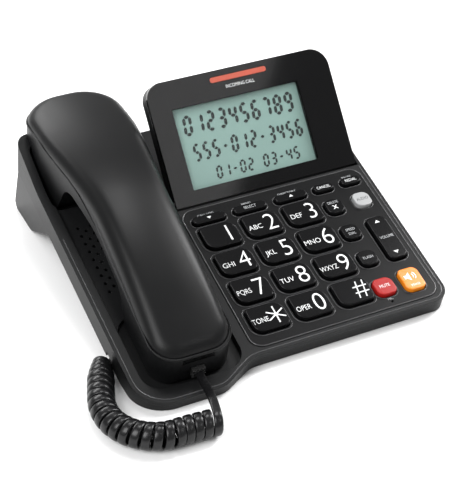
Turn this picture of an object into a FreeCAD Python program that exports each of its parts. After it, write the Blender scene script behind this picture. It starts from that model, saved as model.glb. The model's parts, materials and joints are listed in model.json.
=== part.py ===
import FreeCAD, Part
import math
import os

import Sketcher

# A corded desk telephone with big keys, a tilting caller display and a speakerphone.
# Row frame: origin on the table under the middle of the set, +X right, +Y back, +Z up, millimetres.
# Deck frame: origin over the middle of the keypad, tilted back with the housing, +Z out of the keys.
# Face frame: origin at the display's lower left corner, +Y up the face, +Z out of the face.

Vector = FreeCAD.Vector
Rotation = FreeCAD.Rotation
Placement = FreeCAD.Placement

SIZES = {
    # housing, in the deck frame
    "deck_tilt": 15.1, "deck_height": 23.8, "deck_back": -48.2,
    "housing_half": 98.35, "cradle_rear": 138.6, "well_rear": 136.0, "cradle_front": -65.1,
    "keypad_front": -52.8, "housing_bottom": -15.0, "housing_split": -3.0, "deck_top": 0.0,
    "housing_wall": 2.0, "floor_top": -13.0, "rim_top": 8.7,
    # handset cradle
    "cradle_middle": -62.0, "trough_floor": -2.0, "trough_under": -4.4,
    "front_cup_floor": -4.8, "front_cup_under": -6.6, "rear_cup_floor": -9.0, "rear_cup_under": -11.0,
    # display well and hinge
    "well_left": -26.2, "well_right": 96.2, "well_front": 58.5, "well_floor": -10.5, "well_under": -12.5,
    "hinge_v": 65.4, "hinge_w": -2.2, "hinge_pin_radius": 1.5, "hinge_bore_radius": 1.56,
    # keypad
    "panel_left": -26.2, "panel_right": 94.0, "panel_front": -48.5, "panel_rear": 57.0,
    "panel_seat": -0.8, "panel_top": 0.4, "panel_corner": 8.0,
    "key_wide": 21.6, "key_deep": 17.2, "key_large_corner": 6.0, "key_small_corner": 2.5,
    "key_pitch_x": 27.0, "key_pitch_v": 21.2, "key_column": 16.85, "key_gap": 0.4,
    "key_top": 3.0, "key_shoulder": -3.2, "key_bottom": -4.2, "key_flange": 0.8, "key_round": 0.7,
    "membrane_top": -6.0, "board_top": -7.2, "board_bottom": -8.8,
    "board_left": -23.5, "board_right": 91.5, "board_front": -46.0, "board_rear": 53.0,
    # display, in the face frame
    "face_left": -25.15, "face_wide": 120.5, "face_high": 75.2, "face_tilt": 36.9, "face_v": 60.0,
    "face_thick": 10.0, "face_corner": 10.0, "bezel_back": -3.0,
    "screen_left": 13.6, "screen_right": 96.6, "screen_low": 8.6, "screen_high": 57.7,
    # handset, in the deck frame
    "handset_front": -52.0, "handset_rear": 156.0, "handset_wall": 2.2, "handset_round": 6.0,
    "plug_x": -62.0, "plug_w": 3.7,
    "jack_x": -84.0, "jack_rear": 22.0, "foot_drop": 0.5,
    # curly cord
    "cord_radius": 1.9, "coil_radius": 7.5, "coil_end_radius": 4.4,
    # small parts
    "screw_radius": 1.25, "screw_head_radius": 2.6, "boss_radius": 2.8, "cell_radius": 7.1,
    "cell_long": 50.0,
}

doc = FreeCAD.newDocument("DeskTelephone")
sheet = doc.addObject("Spreadsheet::Sheet", "Sizes")
for number, (alias, value) in enumerate(SIZES.items(), 1):
    sheet.set(f"A{number}", alias)
    sheet.set(f"B{number}", str(value))
    sheet.setAlias(f"B{number}", alias)
doc.recompute()

SIZE = {alias: float(sheet.get(alias)) for alias in SIZES}
NODES = []


# ---------------------------------------------------------------- frames
def tilted(degrees):
    return Rotation(Vector(1, 0, 0), degrees)


ROW = Placement()
DECK = Placement(Vector(0, SIZE["deck_back"], SIZE["deck_height"]), tilted(SIZE["deck_tilt"]))
FACE = DECK.multiply(Placement(Vector(SIZE["face_left"], SIZE["face_v"], 0), tilted(SIZE["face_tilt"])))
SIDEWAYS = Rotation(Vector(1, 1, 1), 120)  # local XY to the YZ plane, extruding along +X


def deck_to_row(x, v, w):
    return DECK.multVec(Vector(x, v, w))


# ---------------------------------------------------------------- drawing helpers
def term(value):
    """A sheet alias or a plain number, as text for an expression."""
    return f"Sizes.{value}" if isinstance(value, str) else f"{value:.6f}"


def amount(value):
    return SIZE[value] if isinstance(value, str) else float(value)


def rounded(corners):
    """Edges of a closed outline given as (x, y, radius) corners, with tangent arcs of those radii."""
    points = [Vector(x, y, 0) for x, y, _ in corners]
    count = len(points)
    starts, ends, arcs = [], [], []
    for i, (x, y, radius) in enumerate(corners):
        here = points[i]
        back = (points[i - 1] - here).normalize()
        ahead = (points[(i + 1) % count] - here).normalize()
        half_turn = (math.pi - back.getAngle(ahead)) / 2
        reach = radius * math.tan(half_turn)
        first = here + back * reach
        last = here + ahead * reach
        if radius > 0:
            inward = (back + ahead).normalize()
            middle = here + inward * (radius / math.cos(half_turn) - radius)
            arcs.append(Part.Arc(first, middle, last))
        else:
            arcs.append(None)
        starts.append(first)
        ends.append(last)
    edges = []
    for i in range(count):
        if arcs[i]:
            edges.append(arcs[i])
        following = starts[(i + 1) % count]
        if ends[i].distanceToPoint(following) > 1e-6:
            edges.append(Part.LineSegment(ends[i], following))
    return edges


def box_corners(left, front, right, rear, radius=0.0):
    left, front, right, rear = (amount(side) for side in (left, front, right, rear))
    return [(left, front, radius), (right, front, radius), (right, rear, radius), (left, rear, radius)]


def outline(name, corners, holes=()):
    """A sketch of one outline, with any inner outlines or (x, y, radius) circles."""
    sketch = doc.addObject("Sketcher::SketchObject", name)
    sketch.addGeometry(rounded(corners), False)
    for hole in holes:
        if isinstance(hole[0], (int, float)):
            x, y, radius = hole
            sketch.addGeometry([Part.Circle(Vector(x, y, 0), Vector(0, 0, 1), radius)], False)
        else:
            sketch.addGeometry(rounded(hole), False)
    return sketch


def raised(name, base, low, high):
    """The base sketch extruded between two levels of its frame."""
    solid = doc.addObject("Part::Extrusion", name)
    solid.Base = base
    solid.DirMode = "Custom"
    solid.Dir = Vector(0, 0, 1)
    solid.Solid = True
    solid.setExpression("LengthFwd", f"{term(high)} - {term(low)}")
    base.setExpression("Placement.Base.z", term(low))
    return solid


def prism(name, corners, low, high, holes=()):
    return raised(name, outline(name + "_outline", corners, holes), low, high)


def side_prism(name, corners, left, right):
    """A (y, z) outline extruded along X between two sides."""
    sketch = outline(name + "_profile", corners)
    sketch.Placement = Placement(Vector(amount(left), 0, 0), SIDEWAYS)
    solid = doc.addObject("Part::Extrusion", name)
    solid.Base = sketch
    solid.DirMode = "Custom"
    solid.Dir = Vector(1, 0, 0)
    solid.Solid = True
    solid.setExpression("LengthFwd", f"{term(right)} - {term(left)}")
    sketch.setExpression("Placement.Base.x", term(left))
    return solid


def rod(name, radius, start, axis, length):
    """A cylinder from a start point along an axis."""
    solid = doc.addObject("Part::Cylinder", name)
    solid.setExpression("Radius", term(radius))
    solid.setExpression("Height", term(length))
    solid.Placement = Placement(Vector(*start), Rotation(Vector(0, 0, 1), Vector(*axis)))
    return solid


def joined(name, pieces):
    whole = doc.addObject("Part::MultiFuse", name)
    whole.Shapes = pieces
    return whole


def without(name, base, tools):
    tool = tools[0] if len(tools) == 1 else joined(name + "_tools", tools)
    result = doc.addObject("Part::Cut", name)
    result.Base = base
    result.Tool = tool
    return result


def shared(name, first, second):
    result = doc.addObject("Part::MultiCommon", name)
    result.Shapes = [first, second]
    return result


def group(name, pieces):
    result = doc.addObject("Part::Compound", name)
    result.Links = pieces
    return result


def finish(piece, node, frame=DECK):
    """Name a finished sub-part after its node and move it from its drawing frame to the row frame."""
    piece.Label = node
    piece.Placement = frame.multiply(piece.Placement)
    NODES.append((node, piece))
    return piece


# ---------------------------------------------------------------- keys
def key_list():
    """Every push key as (node, centre x, centre v, wide, deep, large corner, small corner)."""
    keys = []
    names = (("key_1", "key_2", "key_3"), ("key_4", "key_5", "key_6"),
             ("key_7", "key_8", "key_9"), ("key_star", "key_0", "key_pound"))
    for line, row_names in enumerate(names):
        v = (1.5 - line) * SIZE["key_pitch_v"]
        for column, node in enumerate(row_names):
            x = SIZE["key_column"] + (column - 1) * SIZE["key_pitch_x"]
            keys.append((node, x, v, "key_wide", "key_deep", "key_large_corner", "key_small_corner"))
    for node, x in (("call_log_key", -10.9), ("menu_key", 15.6), ("directory_key", 42.8)):
        keys.append((node, x, 46.2, 21.0, 5.6, 2.7, 2.7))
    for node, x in (("cancel_key", 65.0), ("redial_key", 83.7)):
        keys.append((node, x, 46.2, 13.0, 5.6, 2.7, 2.7))
    keys.append(("audio_key", 83.2, 30.0, 10.6, 10.6, 4.4, 3.2))
    for node, v in (("delete_key", 30.2), ("speed_dial_key", 8.8), ("flash_key", -12.4)):
        keys.append((node, 64.4, v, 11.0, 11.0, 4.4, 3.2))
    keys.append(("mute_key", 63.3, -34.6, 12.6, 12.0, 4.8, 3.6))
    keys.append(("speaker_key", 81.2, -34.8, 12.6, 15.6, 4.0, 3.0))
    return keys


ROCKER = (82.7, -1.8, 12.0, 33.0, 3.5)  # volume rocker: centre x, centre v, wide, deep, corner
ROCKER_GAP = 0.6


def key_hole(x, v, wide, deep, large, small, gap):
    left, right = x - wide / 2 - gap, x + wide / 2 + gap
    front, rear = v - deep / 2 - gap, v + deep / 2 + gap
    return [(left, front, large + gap), (right, front, small + gap),
            (right, rear, large + gap), (left, rear, small + gap)]


def key_holes():
    """Openings for all the keys, through the panel and the deck under it."""
    holes = []
    for _, x, v, wide, deep, large, small in key_list():
        holes.append(key_hole(x, v, *(amount(a) for a in (wide, deep, large, small)), SIZE["key_gap"]))
    x, v, wide, deep, corner = ROCKER
    holes.append(key_hole(x, v, wide, deep, corner, corner, ROCKER_GAP))
    return holes


def key_sketch(body, name, level, wide, deep, large, small):
    """A dimensioned four-sided outline about the body's origin, rounder at two opposite corners."""
    sketch = body.newObject("Sketcher::SketchObject", name)
    plane = [item for item in body.Origin.OriginFeatures if item.Role == "XY_Plane"][0]
    sketch.AttachmentSupport = [(plane, "")]
    sketch.MapMode = "FlatFace"
    sketch.setExpression("AttachmentOffset.Base.z", term(level))
    half_wide, half_deep = amount(wide) / 2, amount(deep) / 2
    big, little = amount(large), amount(small)
    corners = [(-half_wide, -half_deep, big), (half_wide, -half_deep, little),
               (half_wide, half_deep, big), (-half_wide, half_deep, little)]
    sketch.addGeometry(rounded(corners), False)
    arc_ids, line_ids = (0, 2, 4, 6), (1, 3, 5, 7)
    for i in range(4):
        arc, line = arc_ids[i], line_ids[i]
        following = arc_ids[(i + 1) % 4]
        sketch.addConstraint(Sketcher.Constraint("Tangent", arc, 2, line, 1))
        sketch.addConstraint(Sketcher.Constraint("Tangent", line, 2, following, 1))
    sketch.addConstraint(Sketcher.Constraint("Horizontal", line_ids[0]))
    sketch.addConstraint(Sketcher.Constraint("Horizontal", line_ids[2]))
    sketch.addConstraint(Sketcher.Constraint("Vertical", line_ids[1]))
    sketch.addConstraint(Sketcher.Constraint("Vertical", line_ids[3]))
    sketch.addConstraint(Sketcher.Constraint("Equal", arc_ids[0], arc_ids[2]))
    sketch.addConstraint(Sketcher.Constraint("Equal", arc_ids[1], arc_ids[3]))
    named = (("large", "Radius", (arc_ids[0], big), term(large)),
             ("small", "Radius", (arc_ids[1], little), term(small)),
             ("left", "DistanceX", (line_ids[3], 1, -1, 1, half_wide), f"{term(wide)} / 2"),
             ("right", "DistanceX", (-1, 1, line_ids[1], 1, half_wide), f"{term(wide)} / 2"),
             ("front", "DistanceY", (line_ids[0], 1, -1, 1, half_deep), f"{term(deep)} / 2"),
             ("rear", "DistanceY", (-1, 1, line_ids[2], 1, half_deep), f"{term(deep)} / 2"))
    for label, kind, arguments, expression in named:
        index = sketch.addConstraint(Sketcher.Constraint(kind, *arguments))
        sketch.renameConstraint(index, label)
        sketch.setExpression(f"Constraints.{label}", expression)
    return sketch


def padded_key(node, x, v, wide, deep, large, small, flange, low, shoulder):
    """A key cap with a wider flange that keeps it under the deck."""
    body = doc.addObject("PartDesign::Body", node)
    cap = body.newObject("PartDesign::Pad", node + "_cap")
    cap.Profile = key_sketch(body, node + "_cap_outline", shoulder, wide, deep, large, small)
    cap.setExpression("Length", f"Sizes.key_top - {term(shoulder)}")
    doc.recompute()
    top = SIZE["key_top"]
    rim = [f"Edge{n}" for n, edge in enumerate(cap.Shape.Edges, 1)
           if min(vertex.Z for vertex in edge.Vertexes) > top - 1e-4]
    softened = body.newObject("PartDesign::Fillet", node + "_round")
    softened.Base = (cap, rim)
    softened.setExpression("Radius", "Sizes.key_round")
    brim = body.newObject("PartDesign::Pad", node + "_flange")
    brim.Profile = key_sketch(body, node + "_flange_outline", low, *flange, large, small)
    brim.setExpression("Length", f"{term(shoulder)} - {term(low)}")
    body.Tip = brim
    body.Placement = Placement(Vector(x, v, 0), Rotation())
    finish(body, node)


def make_keys():
    for node, x, v, wide, deep, large, small in key_list():
        flange = (amount(wide) + 2 * SIZE["key_flange"], amount(deep) + 2 * SIZE["key_flange"])
        padded_key(node, x, v, wide, deep, large, small, flange, "key_bottom", "key_shoulder")
    x, v, wide, deep, corner = ROCKER
    flange = (wide + 2 * SIZE["key_flange"], deep / 2)
    padded_key("volume_rocker", x, v, wide, deep, corner, corner, flange, -4.8, -3.8)


# ---------------------------------------------------------------- housing
def housing_corners(inset=0.0):
    """Plan outline of the housing: the cradle side reaches further forward than the keypad side."""
    half = SIZE["housing_half"] - inset
    cradle = SIZE["cradle_front"] + inset
    keypad = SIZE["keypad_front"] + inset
    well, rear = SIZE["well_rear"] - inset, SIZE["cradle_rear"] - inset
    return [(-half, cradle, 20 - inset), (-50, cradle, 16 - inset), (-29, keypad, 16 + inset),
            (half, keypad, 10 - inset), (half, well, 8 - inset), (-23 - inset, well, 4 + inset),
            (-28 - inset, rear, 4 - inset), (-half, rear, 8 - inset)]


def above_table(name, clearance):
    """Everything in the deck frame that is at least this high over the table."""
    tilt = math.radians(SIZE["deck_tilt"])
    near, far, lift = -90.0, 200.0, 60.0

    def level(v):
        return (clearance - SIZE["deck_height"] - v * math.sin(tilt)) / math.cos(tilt)

    corners = [(near, level(near), 0), (far, level(far), 0), (far, lift, 0), (near, lift, 0)]
    return side_prism(name, corners, -120, 120)


SCREW_POINTS = ((-92.6, 78.0), (-92.6, -30.0), (-27.2, 30.0), (-27.2, -30.0), (73.3, 20.0), (73.3, -22.0))
SCREW_TIP = -4.4
BATTERY_BOX = (-79.0, 107.0, 79.0, 127.0)
BATTERY_LOW = -32.5
LINE_JACK = (-50.0, 62.0, -36.0, 74.0)
FOOT_POINTS = ((-66.0, -89.6), (66.0, -89.6), (-80.0, 98.4), (80.0, 98.4))


def foot_rods(name, radius, low, high):
    return [rod(f"{name}_{n}", radius, (x, y, low), (0, 0, 1), high - low)
            for n, (x, y) in enumerate(FOOT_POINTS)]


def in_deck(piece):
    """A piece drawn in the row frame, carried to the deck frame so that it can cut a deck piece."""
    piece.Placement = DECK.inverse().multiply(piece.Placement)
    return piece


def screw_rods(name, radius, low, high):
    return [rod(f"{name}_{n}", radius, (x, v, amount(low)), (0, 0, 1), amount(high) - amount(low))
            for n, (x, v) in enumerate(SCREW_POINTS)]


def jack_pocket(grow, roof):
    """Pocket for the handset cord under the cradle: jack room, bend room and a notch in the side wall."""
    x, v = SIZE["jack_x"], SIZE["jack_rear"]
    rooms = (("jack_room", x - 6, 1.0, x + 6, v, -6.0), ("bend_room", x - 11, -20.0, x + 6, 1.0, -8.3),
             ("cord_notch", x - 16, -23.0, x - 10, -14.5, -11.6))
    pieces = []
    for name, left, front, right, rear, top in rooms:
        corners = box_corners(left - grow, front - grow, right + grow, rear)
        pieces.append(prism(f"{name}_{roof}", corners, -16.0 + grow, top + grow))
    return pieces


def make_lower_shell():
    """Bottom tray: flat under its front edge, with a battery box, jack pockets and screw holes."""
    wall = SIZE["housing_wall"]
    block = prism("tray_block", housing_corners(), "housing_bottom", "housing_split")
    outer = shared("tray_outer", block, above_table("over_table", SIZE["foot_drop"]))
    hollow = prism("tray_hollow", housing_corners(wall), "floor_top", 1.0)
    inner = shared("tray_inner", hollow, above_table("over_floor", SIZE["foot_drop"] + wall))
    left, front, right, rear = BATTERY_BOX
    box_outer = prism("battery_box", box_corners(left, front, right, rear, 2), BATTERY_LOW, "housing_bottom")
    box_inner = prism("battery_room", box_corners(left + 2, front + 2, right - 2, rear - 2, 1),
                      BATTERY_LOW - 1, "housing_bottom")
    well = prism("tray_well", box_corners(-29, 56.5, 120, 150), "well_under", 1.0)
    line_port = prism("line_port", box_corners(*LINE_JACK), -16.0, -12.0)
    shafts = screw_rods("tray_shaft", 1.5, "housing_bottom", -10)
    heads = screw_rods("tray_head", 2.9, "housing_bottom", -14.0)
    seats = [in_deck(piece) for piece in foot_rods("foot_seat", 5.1, -1.0, 1.5)]
    opened = without("tray_open", outer, [inner, well, line_port])
    roofs = jack_pocket(1.2, "roof")
    whole = joined("tray_whole", [opened, box_outer, shared("pocket_roofs", joined("roofs", roofs), block)])
    rooms = jack_pocket(0.0, "room")
    finish(without("lower_shell", whole, [box_inner, *rooms, *shafts, *heads, *seats]), "base_lower_shell")


def pan(name, left, front, right, rear, corner, floor, under):
    """The outside and the inside of a recess pressed down into the deck."""
    outside = prism(name + "_outside", box_corners(left - 2, front - 2, right + 2, rear + 2, corner + 2),
                    under, "housing_split")
    inside = prism(name + "_inside", box_corners(left, front, right, rear, corner), floor, 20.0)
    return outside, inside


def grille_holes():
    """Sound holes in a staggered grid over the loudspeaker."""
    holes = []
    pitch = 3.9
    for line in range(17):
        for column in range(6):
            x = -84.5 + (2 * column + line % 2) * pitch
            holes.append((x, 17.0 + line * 3.1, 1.1))
    return holes


def make_upper_shell():
    """Top cover: deck, handset cradle, raised rear rim, display well and key openings."""
    split, top = "housing_split", "deck_top"
    middle = SIZE["cradle_middle"]
    plate = prism("deck_plate", housing_corners(), split, top)
    rim = SIZE["rim_top"]
    rim_corners = [(98, 0, 30), (136, rim, 2), (145, rim, 0), (145, -3, 0), (90, -3, 0), (90, 0, 0)]
    rim_block = side_prism("rim_block", rim_corners, -99, "well_left")
    rim_solid = shared("rim", rim_block, prism("rim_plan", housing_corners(), split, 20.0))
    cup_out, cup_in = pan("front_cup", middle - 29.5, -55.5, middle + 29.5, -2.6, 12,
                          "front_cup_floor", "front_cup_under")
    ear_out, ear_in = pan("rear_cup", middle - 31, 83, middle + 31, 131, 6, "rear_cup_floor", "rear_cup_under")
    trough_out, trough_in = pan("trough", middle - 29.5, -40, middle + 29.5, 120, 6,
                                "trough_floor", "trough_under")
    well_block = prism("well_block", box_corners(-29, 56.5, 120, 150), "well_under", split)
    well_solid = shared("well_solid", well_block, prism("well_plan", housing_corners(), "well_under", split))
    well_room = prism("well_room", box_corners("well_left", "well_front", "well_right", 150), "well_floor", 20.0)
    cheek_slope = side_prism("cheek_slope", [(76, 1, 0), (150, 1, 0), (150, -10.5, 0), (98, -10.5, 0)], 96, 120)
    bosses = screw_rods("deck_boss", "boss_radius", "floor_top", split)
    whole = joined("deck_whole", [plate, rim_solid, cup_out, ear_out, trough_out, well_solid, *bosses])
    seat = prism("panel_seat", box_corners("panel_left", "panel_front", "panel_right", "panel_rear",
                                           SIZE["panel_corner"]), "panel_seat", 5.0)
    openings = [prism(f"deck_hole_{n}", hole, -4.0, 1.0) for n, hole in enumerate(key_holes())]
    sound = [rod(f"sound_{n}", radius, (x, v, -8), (0, 0, 1), 12)
             for n, (x, v, radius) in enumerate(grille_holes())]
    pilots = screw_rods("deck_pilot", "screw_radius", -13.5, SCREW_TIP)
    plunger_bore = rod("plunger_bore", 2.3, (middle, -18, -8), (0, 0, 1), 8)
    pin_bore = rod("cheek_bore", "hinge_pin_radius", (-29, SIZE["hinge_v"], SIZE["hinge_w"]), (1, 0, 0), 135)
    mic_bore = rod("mic_bore", 0.8, (63.4, -44.6, -4), (0, 0, 1), 5)
    tools = [cup_in, ear_in, trough_in, well_room, cheek_slope, seat, plunger_bore, pin_bore, mic_bore]
    finish(without("upper_shell", whole, tools + openings + sound + pilots), "base_upper_shell")


def make_keypad_panel():
    """Glossy overlay round the keys, the rubber contact sheet and the circuit board under it."""
    panel = prism("panel", box_corners("panel_left", "panel_front", "panel_right", "panel_rear",
                                       SIZE["panel_corner"]), "panel_seat", "panel_top",
                  [*key_holes(), (63.4, -44.6, 0.8)])
    finish(panel, "keypad_faceplate")
    board = box_corners("board_left", "board_front", "board_right", "board_rear", 1.0)
    clear = [(73.3, 20.0, 3.2), (73.3, -22.0, 3.2)]
    membrane = prism("membrane", box_corners(-22.5, -42.3, 90.5, 51.5, 1.0), "board_top", "membrane_top", clear)
    finish(membrane, "keypad_membrane")
    plate = prism("board_plate", board, "board_bottom", "board_top", clear)
    chip = prism("board_chip", box_corners(4, 4, 24, 24), -10.8, "board_bottom")
    capacitor = rod("board_capacitor", 2.0, (45, 36, -12.2), (0, 0, 1), 3.4)
    socket = prism("board_socket", box_corners(-10, 44, 10, 50), -11.8, "board_bottom")
    finish(joined("board", [plate, chip, capacitor, socket]), "main_board")


def make_housing_insides():
    """Loudspeaker, microphone, jacks and hook switch."""
    middle = SIZE["cradle_middle"]
    basket = rod("speaker_basket", 19.0, (middle, 42, -6.0), (0, 0, 1), 1.6)
    magnet = rod("speaker_magnet", 11.0, (middle, 42, -12.6), (0, 0, 1), 6.6)
    finish(joined("speaker", [basket, magnet]), "base_speaker")
    finish(rod("microphone", 2.4, (63.4, -44.9, -6.4), (0, 0, 1), 3.0), "base_microphone")
    left, front, right, rear = LINE_JACK
    line_block = prism("line_block", box_corners(left, front, right, rear), -15.0, -4.6)
    line_mouth = prism("line_mouth", box_corners(left + 2.1, front + 2.7, right - 2.1, rear - 2.7), -16.0, -6.0)
    finish(without("line", line_block, [line_mouth]), "line_jack")
    x, v = SIZE["jack_x"], SIZE["jack_rear"]
    jack_block = prism("jack_block", box_corners(x - 5.9, v - 13, x + 5.9, v), -15.0, -6.0)
    jack_mouth = prism("jack_mouth", box_corners(x - 4.0, v - 14, x + 4.0, v - 3), -14.0, -7.2)
    finish(without("jack", jack_block, [jack_mouth]), "handset_cord_jack")
    switch = prism("switch", box_corners(middle + 5, -22, middle + 13, -14, 0.5), "floor_top", -9.4)
    finish(switch, "hook_switch")
    tip = rod("plunger_tip", 2.0, (middle, -18, -11.6), (0, 0, 1), 6.8)
    foot = rod("plunger_foot", 3.6, (middle, -18, -12.6), (0, 0, 1), 1.0)
    finish(joined("plunger", [tip, foot]), "hook_plunger")


def make_battery_parts():
    """Three cells end to end, their end contacts and the door under them."""
    left, front, right, rear = BATTERY_BOX
    radius, long = SIZE["cell_radius"], SIZE["cell_long"]
    v, level = (front + rear) / 2, BATTERY_LOW + 1.8 + radius
    cells = []
    for n in range(3):
        x = left + 3.0 + n * (long + 0.6)
        can = rod(f"cell_can_{n}", radius, (x, v, level), (1, 0, 0), long - 1.2)
        nub = rod(f"cell_nub_{n}", 2.6, (x + long - 1.2, v, level), (1, 0, 0), 1.2)
        cells.append(joined(f"cell_{n}", [can, nub]))
    finish(group("cells", cells), "batteries")
    ends = [prism(f"contact_{n}", box_corners(x, v - 5, x + 0.5, v + 5), level - 5, level + 5)
            for n, x in enumerate((left + 2.0, right - 2.5))]
    finish(group("contacts", ends), "battery_contacts")
    door = prism("door", box_corners(left, front, right, rear, 2), BATTERY_LOW - 1.8, BATTERY_LOW)
    finish(door, "battery_door")


def make_screws():
    """Self-tapping screws up through the tray into the bosses of the deck."""
    screws = []
    for n, (x, v) in enumerate(SCREW_POINTS):
        head = rod(f"screw_head_{n}", "screw_head_radius", (x, v, -14.9), (0, 0, 1), 0.9)
        shaft = rod(f"screw_shaft_{n}", 1.2, (x, v, -14.0), (0, 0, 1), 9.0)
        screws.append(joined(f"screw_{n}", [head, shaft]))
    finish(group("screws", screws), "base_screws")


def stand_corners(inset=0.0):
    """Side outline of the desk stand, in row heights and depths counted from the deck origin."""
    back = SIZE["deck_back"]
    tilt = math.radians(SIZE["deck_tilt"])

    def under(v):
        y = v * math.cos(tilt) - SIZE["housing_bottom"] * math.sin(tilt)
        z = v * math.sin(tilt) + SIZE["housing_bottom"] * math.cos(tilt) + SIZE["deck_height"]
        return back + y, z

    (y_front, z_front), (y_rear, z_rear) = under(76.0), under(135.0)
    if inset == 0.0:
        low = SIZE["foot_drop"]
        return [(y_front, z_front, 0), (back + 129, low, 14), (back + 161.5, low, 4),
                (back + 146, 34, 5), (y_rear, z_rear, 0)]
    return [(y_front + 5.5, z_front + 3, 0), (back + 129.4, 2.4, 12), (back + 158.6, 2.4, 3),
            (back + 143.5, 32, 3), (y_rear - 4, z_rear + 3, 0)]


def make_desk_stand():
    """Hollow wedge clipped under the rear of the housing, open at the top and round the battery box."""
    outer = side_prism("stand_outer", stand_corners(), -94.2, 94.2)
    inner = side_prism("stand_inner", stand_corners(2.4), -91.8, 91.8)
    finish(without("stand", outer, [inner, *foot_rods("stand_seat", 5.1, -1.0, 1.5)]), "desk_stand", ROW)
    finish(group("feet", foot_rods("foot", 5.0, 0.0, 1.5)), "rubber_feet", ROW)


# ---------------------------------------------------------------- display
def face_corners(inset=0.0):
    wide, high, corner = SIZE["face_wide"], SIZE["face_high"], SIZE["face_corner"]
    return [(inset, inset, 0.8), (wide - inset, inset, 0.8),
            (wide - inset, high - inset, corner + 2 - inset), (inset, high - inset, corner - inset)]


LIGHT = (41.4, 67.9, 78.8, 71.3)  # call light: left, low, right, high on the face
FACE_SCREWS = ((8, 12), (112.5, 12), (10, 64), (110, 64))


def make_display():
    """Tilting display head: bezel, clear window, screen, light bar, board, rear shell and screws."""
    left, right, low, high = (SIZE[a] for a in ("screen_left", "screen_right", "screen_low", "screen_high"))
    window_seat = prism("window_seat", box_corners(left - 3, low - 3, right + 3, high + 3, 1.0), -1.2, 1.0)
    view = prism("view_hole", box_corners(left, low, right, high, 0.6), -4.0, 1.0)
    light_hole = prism("light_hole", box_corners(*LIGHT, 1.45), -4.0, 1.0)
    front = prism("bezel_block", face_corners(), "bezel_back", 0.0)
    finish(without("bezel", front, [window_seat, view, light_hole]), "display_front_bezel", FACE)
    finish(prism("window", box_corners(left - 2.9, low - 2.9, right + 2.9, high + 2.9, 0.9), -1.2, -0.1),
           "display_window", FACE)
    finish(prism("screen", box_corners(left - 2, low - 2.5, right + 2, high + 2.5), -5.8, -3.0),
           "lcd_module", FACE)
    x1, y1, x2, y2 = LIGHT
    lens = prism("light_bar", box_corners(x1 + 0.1, y1 + 0.1, x2 - 0.1, y2 - 0.1, 1.4), -3.0, 0.2)
    lens_foot = prism("light_foot", box_corners(x1 - 1.5, y1 - 1.5, x2 + 1.5, y2 + 1.5, 1.4), -4.0, -3.0)
    finish(joined("light", [lens, lens_foot]), "call_light_lens", FACE)
    finish(prism("face_board", box_corners(12, 6, 104, 60.5, 1.0), -7.4, -5.8), "display_board", FACE)
    thick = -SIZE["face_thick"]
    back_block = prism("back_block", face_corners(), thick, "bezel_back")
    back_room = prism("back_room", face_corners(2.0), thick + 2.0, 1.0)
    posts = [rod(f"post_{n}", 2.8, (x, y, thick + 1), (0, 0, 1), -3.0 - thick - 1)
             for n, (x, y) in enumerate(FACE_SCREWS)]
    posts_bore = [rod(f"post_bore_{n}", 1.35, (x, y, thick - 1), (0, 0, 1), 9)
                  for n, (x, y) in enumerate(FACE_SCREWS)]
    head_bore = [rod(f"post_sink_{n}", 2.4, (x, y, thick - 1), (0, 0, 1), 2.2)
                 for n, (x, y) in enumerate(FACE_SCREWS)]
    lugs = [rod(f"lug_{n}", 2.9, (x, 3.0, -5.0), (1, 0, 0), 4.0)
            for n, x in enumerate((1.0, SIZE["face_wide"] - 5.0))]
    pivot = rod("pivot_bore", "hinge_bore_radius", (-1, *pivot_on_face()), (1, 0, 0), SIZE["face_wide"] + 2)
    emptied = without("back_empty", back_block, [back_room])
    whole = joined("back_whole", [emptied, *posts, *lugs])
    above = prism("above_back", box_corners(-5, -5, SIZE["face_wide"] + 5, SIZE["face_high"] + 5),
                  "bezel_back", 2.0)
    finish(without("back_shell", whole, [pivot, above, *posts_bore, *head_bore]), "display_rear_shell", FACE)
    screws = []
    for n, (x, y) in enumerate(FACE_SCREWS):
        head = rod(f"face_screw_head_{n}", 2.2, (x, y, thick + 0.1), (0, 0, 1), 1.1)
        shaft = rod(f"face_screw_shaft_{n}", 1.25, (x, y, thick + 1.2), (0, 0, 1), 5.6)
        screws.append(joined(f"face_screw_{n}", [head, shaft]))
    finish(group("face_screws", screws), "display_screws", FACE)


def pivot_on_face():
    """The hinge axis as (up the face, out of the face)."""
    centre = deck_to_row(0, SIZE["hinge_v"], SIZE["hinge_w"])
    local = FACE.inverse().multVec(centre)
    return local.y, local.z


def make_hinge_pins():
    """Short pins through the housing cheeks into the lugs of the display."""
    v, w = SIZE["hinge_v"], SIZE["hinge_w"]
    pins = [rod("pin_left", "hinge_pin_radius", (-29.0, v, w), (1, 0, 0), 8.6),
            rod("pin_right", "hinge_pin_radius", (90.6, v, w), (1, 0, 0), 7.7)]
    finish(group("pins", pins), "hinge_pins")


# ---------------------------------------------------------------- handset
PLUG_HALF_WIDE, PLUG_HALF_HIGH = 3.8, 3.2  # clear modular plug of the handset cord
HANDSET_SCREWS = ((-14.0, -4.1), (142.0, 9.3))  # along the handset and just inside its underside


def handset_plan(inset=0.0):
    """Plan outline of the handset: narrow mouthpiece, slim waist and wide earpiece."""
    middle = SIZE["cradle_middle"]
    front, rear = SIZE["handset_front"] + inset, SIZE["handset_rear"] - inset
    side = [(23.6, front, 14), (22.4, 42, 260), (29.4, 116, 60), (29.2, rear, 24)]
    right = [(middle + x - inset, v, r - inset if r < 30 else r) for x, v, r in side]
    left = [(middle - x + inset, v, r - inset if r < 30 else r) for x, v, r in reversed(side)]
    return right + left


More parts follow.
